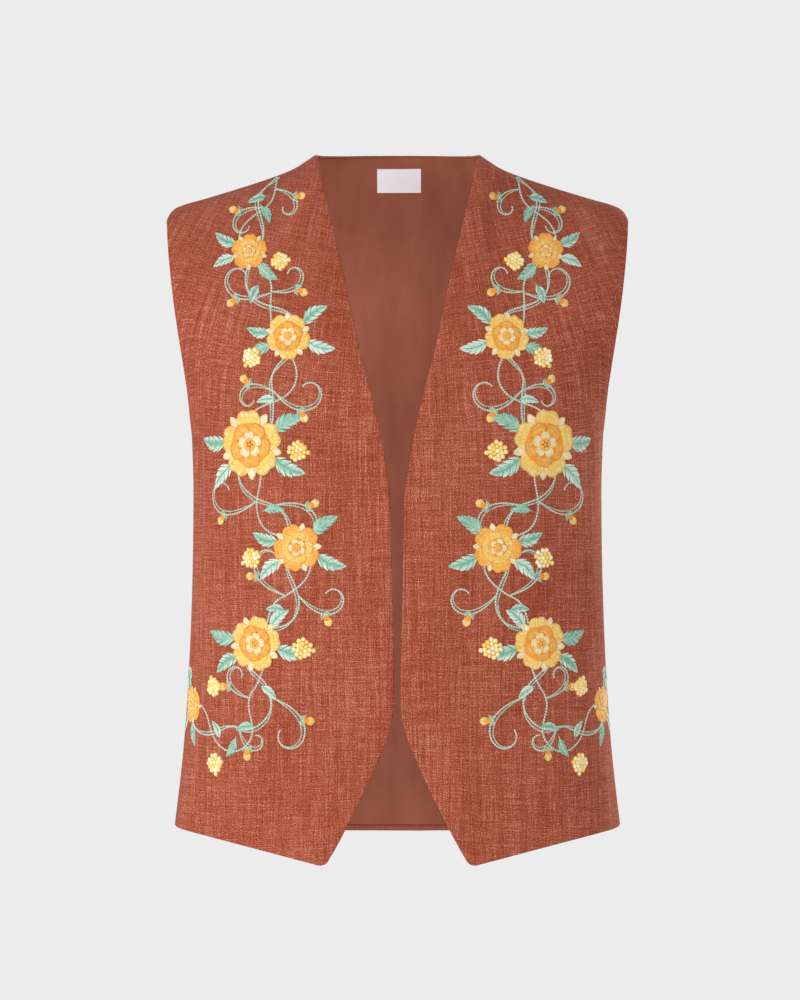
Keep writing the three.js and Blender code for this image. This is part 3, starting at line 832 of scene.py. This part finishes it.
def blossom(work, centre, radius, spin, kind):
    """Open blossom: cream petals behind, then rings of broad petals, each ring smaller, higher
    and turned by half a petal, and every other petal over its neighbours."""
    step = 2 * np.pi / PETALS
    for k in range(PETALS):
        petal(work, centre, spin + step * (k + 0.5), BEHIND_SPREAD, radius * BEHIND_INNER, radius,
              BETWEEN_PETALS, BEHIND_LIFT, *BEHIND_EDGE)
    for ring, (outer, inner, tones) in enumerate(BLOSSOM_KINDS[kind]):
        for k in [*range(0, PETALS, 2), *range(1, PETALS, 2)]:
            angle = spin + step * (ring / 2 + k) + 0.10 * (rng.random() - 0.5)
            size = radius * outer * (0.96 + 0.07 * rng.random())
            petal(work, centre, angle, step * 0.475, radius * inner, size, tones,
                  FIRST_LIFT + RING_LIFT * ring + OVER_LIFT * (k % 2))


BUD_PITCH, BUD_FOOT, BUD_MOUTH, BUD_ROUND = 0.85, 0.12, 0.30, 0.22
BUD_LOW, BUD_HIGH = (1.1, 0.4, 0.15), (1.15, 0.4, 0.2)
SEPAL_TURN, SEPAL_LENGTH, SEPAL_WIDTH, SEPAL_BEND, SEPAL_LIFT = 0.75, 0.62, 0.13, 0.08, 0.3


def bud(work, base, heading, length):
    """Closed bud: a fan of threads in a drop shape with two pointed sepals at its foot."""
    along, square = polar(heading), polar(heading + np.pi / 2)
    w = np.linspace(-1, 1, max(int(length * BUD_PITCH), 7))[:, None]
    start = base + w * square * length * BUD_FOOT
    tip = base + along * length * (1 - BUD_ROUND * w * w) + w * square * length * BUD_MOUTH
    middle = start + (tip - start) * 0.5
    work.straight(start, middle + (tip - start) * 0.1, BUD_LOW, "orange")
    work.straight(middle, tip, BUD_HIGH, ["yellow", "butter"])
    for sign in (-1, 1):
        leaf(work, base - along * 1.5, heading + sign * SEPAL_TURN, length * SEPAL_LENGTH,
             length * SEPAL_WIDTH, 0, sign * SEPAL_BEND, SEPAL_LIFT)


ROUND_THREAD, ROUND_EDGE = (1.05, 0.3), 0.75


def rounds(work, places, radii, rows, lift, tone):
    """A small round at each place, filled with threads laid side by side."""
    radii = np.broadcast_to(radii, len(places))
    none = 0 * radii
    for share in np.linspace(-ROUND_EDGE, ROUND_EDGE, rows):
        half = np.stack([radii * math.sqrt(1 - share * share), none], -1)
        middle = places + np.stack([none, radii * share], -1)
        work.straight(middle - half, middle + half, (*ROUND_THREAD, lift), tone)


def knots(places, radii, lifts, tones, name, ground):
    """French knots: domes of coiled thread, each a half globe of rings, lifted over the cloth, with
    painted shade that darkens each dome towards its foot.
    """
    rings, around, tall, dimple = 4, 9, 0.85, 0.7
    tilt = np.linspace(0, np.pi / 2, rings)[:-1, None]
    turn = np.linspace(0, 2 * np.pi, around, endpoint=False)
    dome = np.stack([np.cos(tilt) * np.cos(turn), np.cos(tilt) * np.sin(turn),
                     np.sin(tilt) * tall + 0 * turn], -1).reshape(-1, 3)
    dome = np.concatenate([dome, [[0, 0, dimple]]])
    point, normal = ground.lay(places[:, 0], places[:, 1])
    point = point + normal * lifts[:, None]
    side = unit(np.cross(np.array([0.0, 0.0, 1.0]), normal))
    axes = np.stack([side, np.cross(normal, side), normal], 1)
    body = point[:, None] + radii[:, None, None] * np.einsum("dk,pkc->pdc", dome, axes)
    base = (np.arange(len(places)) * len(dome))[:, None, None]
    ring = np.arange((rings - 1) * around).reshape(-1, around)
    ring = np.concatenate([ring, ring[:, :1]], 1)
    quads = (base + grid_faces(ring)).reshape(-1, 4)
    crown = np.stack([ring[-1, :-1], ring[-1, 1:], np.full(around, len(dome) - 1)], -1)
    caps = (base + crown).reshape(-1, 3)
    foot = base[:, 0] + np.arange(around)[::-1]
    # Painted shade: the rings darken towards the cloth and the top is lightest, times a random tone
    # for each knot.
    height = np.append(np.repeat(np.linspace(0.1, 0.9, rings - 1), around), 1.0)
    shade = (0.5 + 0.5 * rng.random(len(places)))[:, None] * height
    uv = np.stack([np.tile(np.linspace(0, 0.012, len(dome)), len(places)), shade.ravel()], -1)
    tone = np.concatenate([np.repeat(tones, n) for n in (around * (rings - 2), around, 1)])
    return make_piece(name, body.reshape(-1, 3), [quads, caps, foot], uv,
                      list(THREADS.values()), tone)


# ---- the vine's own layout

VINE = table("a z", [
    (112, -21), (126, -54), (134, -92), (120, -130), (96, -168), (102, -212), (132, -262),
    (126, -308), (90, -352), (92, -396), (126, -436), (122, -478), (134, -514), (170, -518),
    (206, -492), (226, -484),
])
BLOSSOMS = table("a z radius spin kind", [
    (134, -92, 17, 0.3, 1), (96, -168, 21, 0.9, 0), (132, -262, 31, 0.25, 0),
    (88, -352, 22, 1.2, 1), (128, -436, 25, 0.5, 0), (206, -492, 17, 0.1, 1),
])
SPRAYS = table("blossom heading length width kind", [
    (0, 0.5, 24, 5.0, 0), (0, 3.9, 24, 5.0, 1), (0, 5.9, 22, 4.6, 2),
    (1, 2.5, 27, 5.6, 0), (1, 3.4, 27, 5.6, 2), (1, 5.8, 25, 5.2, 1), (1, 0.2, 22, 4.8, 0),
    (2, 0.1, 32, 7.0, 0), (2, 2.7, 31, 6.6, 1), (2, 3.6, 33, 7.0, 0), (2, 5.5, 30, 6.6, 2),
    (3, 2.5, 28, 6.0, 1), (3, 3.5, 29, 6.2, 0), (3, 5.6, 27, 5.8, 2), (3, 0.3, 26, 5.6, 0),
    (4, 0.2, 30, 6.4, 1), (4, 3.3, 30, 6.4, 0), (4, 5.7, 28, 6.0, 0), (4, 2.4, 24, 5.2, 2),
    (5, 1.2, 23, 4.8, 0), (5, 4.5, 24, 5.0, 1), (5, 5.5, 22, 4.6, 0),
])
BERRIES = table("a z size turn", [
    (104, -101, 10.5, 3.0), (130, -187, 11.5, 5.4), (86, -268, 12, 3.3), (132, -362, 12, 5.8),
    (82, -440, 12.5, 3.3), (170, -543, 11.5, 4.6), (172, -474, 10.5, 1.2),
])
SPRIGS = table("share side length width kind", [
    (0.035, 1, 18, 3.8, 0), (0.05, -1, 18, 3.8, 1), (0.165, 1, 18, 3.8, 0), (0.335, 1, 18, 3.6, 2),
    (0.50, -1, 19, 3.8, 1), (0.655, 1, 18, 3.6, 0), (0.775, -1, 18, 3.6, 2),
    (0.83, 1, 18, 3.8, 0), (0.865, -1, 19, 3.8, 1), (0.89, 1, 17, 3.4, 2),
])
SCROLLS = table("a z heading curl length", [
    (122, -50, 0.1, -1, 64), (112, -34, 3.3, 1, 56), (108, -130, 5.9, 1, 84),
    (112, -128, 3.3, -1, 62), (104, -214, 4.0, -1, 84), (110, -216, 0.5, -1, 60),
    (124, -312, 5.7, 1, 92), (112, -322, 2.95, 1, 80), (90, -394, 4.0, -1, 76),
    (98, -396, 0.3, 1, 84), (118, -484, 3.5, 1, 92), (126, -486, 0.2, 1, 60),
    (146, -518, 4.5, -1, 52), (214, -470, 1.0, 1, 44),
])
TWIST_RUN, TWIST_START, TWIST_REACH, ECHO_REACH = 92.0, 0.6, 11.0, 3.4


def vine_strands(line):
    """Two strands that swing across the vine's line as opposed sines and cross every half turn,
    closing in towards both ends, and a third that keeps close to the first."""
    square = sideways(line)
    s = np.arange(len(line))
    turn = 2 * np.pi * s / TWIST_RUN + TWIST_START
    swing = np.sin(turn) * TWIST_REACH
    swing *= np.minimum(1, (len(s) - s) / 40 + 0.25) * np.minimum(1, s / 36 + 0.06)
    echo = swing - ECHO_REACH * np.cos(turn)
    return [line + square * offset[:, None] for offset in (swing, -swing, echo)], square


SCROLL_STEPS, INSIDE_STEPS, BUD_STEP, BUD_LENGTH = 80, 67, 30, 11.5
SCROLL_BEND, SCROLL_CLOSE, INSIDE_REACH = 0.2, 4.9, 3.2


def scroll(vine, buds, start, heading, curl, length):
    """Scroll whose curvature grows along it, so that it closes in a small spiral, with a second
    line inside its bend and a bud on its back."""
    s = np.linspace(0, 1, SCROLL_STEPS)
    angle = heading + curl * (SCROLL_BEND * s + SCROLL_CLOSE * s ** 2.1)
    line = start + np.cumsum(polar(angle), 0) * length / SCROLL_STEPS
    chain_line(vine, line, "frost", 0.9)
    inside = line + polar(angle + curl * np.pi / 2, INSIDE_REACH * np.sin(np.pi * s / 0.85))
    chain_line(vine, inside[:INSIDE_STEPS], ["aqua", "frost"], 0.7)
    bud(buds, line[BUD_STEP], angle[BUD_STEP] - curl, BUD_LENGTH)


BERRY_ROWS, BERRY_SIZE, BERRY_JITTER = (2, 4, 5, 4, 3, 1), 12, 0.35
KNOT_STEP, ROW_STEP, FIRST_ROW = 3.8, 3.35, 8.5


def berry_places(a, z, size, turn):
    """Knots packed in a rounded triangle that narrows away from its stalk."""
    rows = [[((i - (n - 1) / 2) * KNOT_STEP, FIRST_ROW - k * ROW_STEP) for i in range(n)]
            for k, n in enumerate(BERRY_ROWS)]
    spots = np.concatenate(rows) * size / BERRY_SIZE
    spots = spots + BERRY_JITTER * (rng.random(spots.shape) - 0.5)
    return spots @ np.stack([polar(turn + np.pi / 2), polar(turn + np.pi)]) + (a, z)


def heart_places(a, z, radius):
    """A ring of knots round one more, at a blossom's heart."""
    ring = polar(np.arange(5) * 2 * np.pi / 5, radius * HEART_RING)
    return np.concatenate([ring, [[0, 0]]]) + (a, z)


STRANDS, CLEARED = (("frost", 1.0), ("frost", 1.0), (["aqua", "frost"], 0.8)), (0.86, 0.95, 0.95)
SPRIG_TURN, SPRIG_BEND, SPRIG_LIFT = 0.85, 0.08, 0.6
SPRAY_START, SPRAY_BEND = 0.8, 0.1
BERRY_GROUND, BERRY_RADIUS, BERRY_MORE = (2.4, 5, 0.1), 2.1, 0.35
BERRY_TONES = {"butter": 0.5, "cream": 0.15, "yellow": 0.35}
HEART_RING, HEART_GROUND, HEART_ROWS, HEART_RADIUS, HEART_LIFT = 0.10, 0.16, 9, 1.35, 0.8


def embroider(side, name):
    """All of one front's needlework, as five pieces."""
    ground = FrontGround(side)
    vine = Stitches(CHAIN_SHARES)
    leaves, buds, flowers = (Stitches(SATIN_SHARES) for _ in range(3))
    line = spline(VINE)
    strands, square = vine_strands(line)
    for strand, (tones, size) in zip(strands, STRANDS):
        chain_line(vine, strand, tones, size)
    both = np.concatenate(strands[:2])
    for a, z, turn, curl, length in zip(*SCROLLS.values()):
        start = both[np.argmin(np.linalg.norm(both - (a, z), axis=1))]
        scroll(vine, buds, start, turn, curl, length)
    heading = np.arctan2(-square[:, 0], square[:, 1])
    for share, way, length, width, kind in zip(*SPRIGS.values()):
        at = int(share * (len(line) - 1))
        leaf(leaves, line[at], heading[at] + way * SPRIG_TURN, length, width, kind,
             way * SPRIG_BEND, SPRIG_LIFT)
    centres, radii = np.stack([BLOSSOMS["a"], BLOSSOMS["z"]], -1), BLOSSOMS["radius"]
    for index, turn, length, width, kind in zip(*SPRAYS.values()):
        base = centres[int(index)] + polar(turn, radii[int(index)] * SPRAY_START)
        leaf(leaves, base, turn, length, width, kind, SPRAY_BEND if turn > np.pi else -SPRAY_BEND)
    for work, reach in zip((vine, leaves, buds), CLEARED):
        work.clear(centres, radii * reach)
    for centre, radius, spin, kind in zip(centres, radii, BLOSSOMS["spin"], BLOSSOMS["kind"]):
        blossom(flowers, centre, radius, spin, int(kind))
    berries = np.concatenate([berry_places(*row) for row in zip(*BERRIES.values())])
    rounds(buds, berries, *BERRY_GROUND, "apricot")
    rounds(flowers, centres, radii * HEART_GROUND, HEART_ROWS, HEART_LIFT, "orange")
    hearts = np.concatenate([heart_places(*centre, radius) for centre, radius in zip(centres, radii)])
    names, chances = zip(*BERRY_TONES.items())
    drawn = rng.choice([TONES.index(t) for t in names], len(berries), p=chances)
    tones = np.append(drawn, [TONES.index("apricot")] * len(hearts))
    sizes = BERRY_RADIUS + BERRY_MORE * rng.random(len(berries))
    sizes = np.append(sizes, [HEART_RADIUS] * len(hearts))
    lifts = np.repeat([0, HEART_LIFT], [len(berries), len(hearts)])
    pieces = [work.make(kind + name, ground) for kind, work in (
        ("vine_", vine), ("leaves_", leaves), ("buds_", buds), ("blossoms_", flowers))]
    places = np.concatenate([berries, hearts])
    return pieces + [knots(places, sizes, lifts, tones, "knots_" + name, ground)]


# ---- building

left_front, right_front = front_panel(1), front_panel(-1)
back, lining, label = back_panel(), lining_panel(), label_patch()
left_work, right_work = embroider(1, "left"), embroider(-1, "right")


# ---- studio, in metres and watts

FLOOR_RADIUS, FLOOR_Z, FLOOR_SIDES = 1.1, -0.95, 96
SKY = dict(From_Min=-0.3, From_Max=0.7, To_Min=0.55, To_Max=0.68)
LAMPS = {
    "key_soft": ((-2.5, -1.8, -0.5), (0, 0, -0.4), 2.0, 1.2, 63.5),
    "fill_soft": ((1.9, -2.2, 0.0), (0, 0, -0.34), 1.8, 1.2, 18),
    "back_soft": ((2.0, 2.2, 0.3), (0, 0, -0.3), 1.4, 1.4, 44),
    "inner_soft": ((-0.015, -0.045, -0.32), (-0.015, 0.1, -0.32), 0.06, 0.58, 0.29),
}
CAMERA_PLACE, SENSOR_MM, LENS_MM = (0.00225, -3.0, -0.3105), 36.0, 120.0


def studio_floor():
    """A plain pale disc well below the hem."""
    rim = polar(np.linspace(0, 2 * np.pi, FLOOR_SIDES, endpoint=False), FLOOR_RADIUS)
    mesh = bpy.data.meshes.new("studio_floor")
    mesh.from_pydata([(x, y, FLOOR_Z) for x, y in rim.tolist()], [], [list(range(FLOOR_SIDES))])
    m = new_material("painted_floor_pale")
    place = node(m, "TexCoord")["Object"]
    grain = node(m, "TexNoise", Vector=place, Scale=60.0)["Fac"]
    color = node(m, "ValToRGB", stops=[(0.3, "#F6F6F6"), (0.7, "#FAFAFA")], Fac=grain)
    finish_material(m, color["Color"], grain, 0.05, 0.001, Roughness=0.8)
    mesh.materials.append(m)
    floor = new_object("studio_floor", mesh)


def area_light(name, place, target, width, height, power):
    """A soft lamp aimed at a target, unseen itself."""
    data = bpy.data.lights.new(name, "AREA")
    data.shape, data.size, data.size_y, data.energy = "RECTANGLE", width, height, power
    lamp = new_object(name, data)
    lamp.visible_camera = False
    lamp.location = place
    aim = np.array(target) - np.array(place)
    lamp.rotation_euler = (math.atan2(math.hypot(aim[0], aim[1]), -aim[2]), 0,
                           math.atan2(aim[1], aim[0]) - math.pi / 2)


def studio_light():
    """Pale surroundings, darker below, a broad soft key from the wearer's right and weak fills."""
    world = bpy.data.worlds.new("pale_studio")
    bpy.context.scene.world = world
    world.use_nodes = True
    world.node_tree.nodes.clear()
    height = node(world, "SeparateXYZ", i0=node(world, "TexCoord")["Generated"])[2]
    strength = node(world, "MapRange", Value=height, **SKY)[0]
    glow = node(world, "Background", Strength=strength)[0]
    seen = node(world, "Background", Color=linear("#ECECEC"))[0]
    camera_ray = node(world, "LightPath")["Is Camera Ray"]
    blend = node(world, "MixShader", i0=camera_ray, i1=glow, i2=seen)[0]
    node(world, "OutputWorld", Surface=blend)
    for name, lamp in LAMPS.items():
        area_light(name, *lamp)


def camera():
    """Level with the waist, straight on, three metres away."""
    data = bpy.data.cameras.new("camera")
    data.sensor_width, data.lens = SENSOR_MM, LENS_MM
    view = new_object("camera", data)
    view.location = CAMERA_PLACE
    view.rotation_euler = (math.pi / 2, 0, 0)
    bpy.context.scene.camera = view


studio_floor()
studio_light()
camera()
bpy.context.scene.view_settings.view_transform = "Standard"
